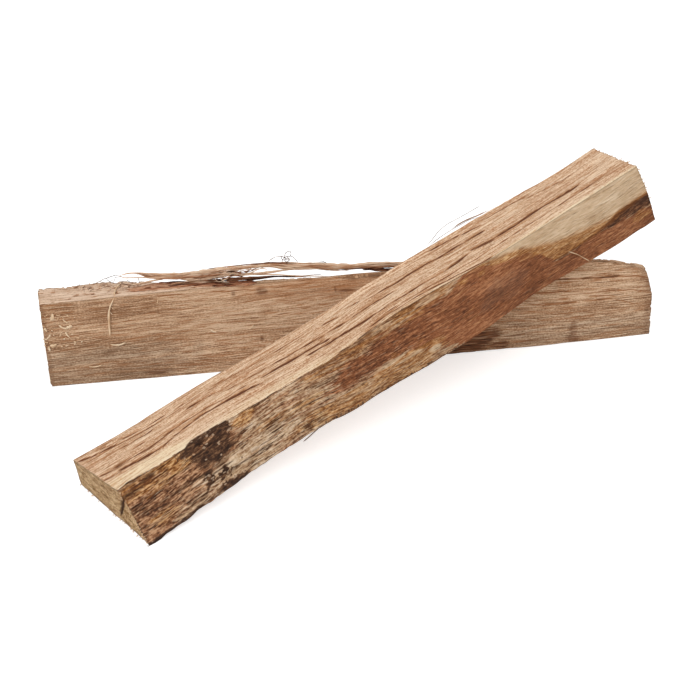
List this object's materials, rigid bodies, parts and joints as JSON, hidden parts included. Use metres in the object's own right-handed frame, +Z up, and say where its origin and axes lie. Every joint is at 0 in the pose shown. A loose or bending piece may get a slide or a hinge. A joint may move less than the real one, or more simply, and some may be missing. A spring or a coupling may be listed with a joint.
{
  "type": "bundle of firewood",
  "caption": "Split firewood logs with bark on one side, a leaning log crossed over one that lies flat, with torn bast strips.",
  "frame": {"origin": "on the floor, under the centre of the bundle's bounding box", "axes": "+Z up, +X along the log that lies flat, towards the end where the leaning log is raised; -Y towards the foot of the leaning log"},
  "size_m": [0.4056, 0.2336, 0.1141],
  "materials": {
    "flat_log_wood": "rough split grey-brown oak with fine wavy fibres; brown furrowed bark on the far side",
    "leaning_log_wood": "rough split pinkish-tan oak with dark pore lines, cream sapwood edge, and red-brown to dark inner bark",
    "torn_bast": "matt fibrous reddish tan",
    "dark_bast": "matt fibrous dark red-brown",
    "pale_sliver": "matt pale sapwood"
  },
  "bodies": {
    "root": {"back_log": "flat_log_wood", "front_log": "leaning_log_wood", "strip_upper": "torn_bast", "strip_left": "torn_bast", "strip_middle": "torn_bast", "strip_lower": "dark_bast", "sliver_front": "pale_sliver", "splinter_hanging": "pale_sliver"}
  },
  "joints": []
}
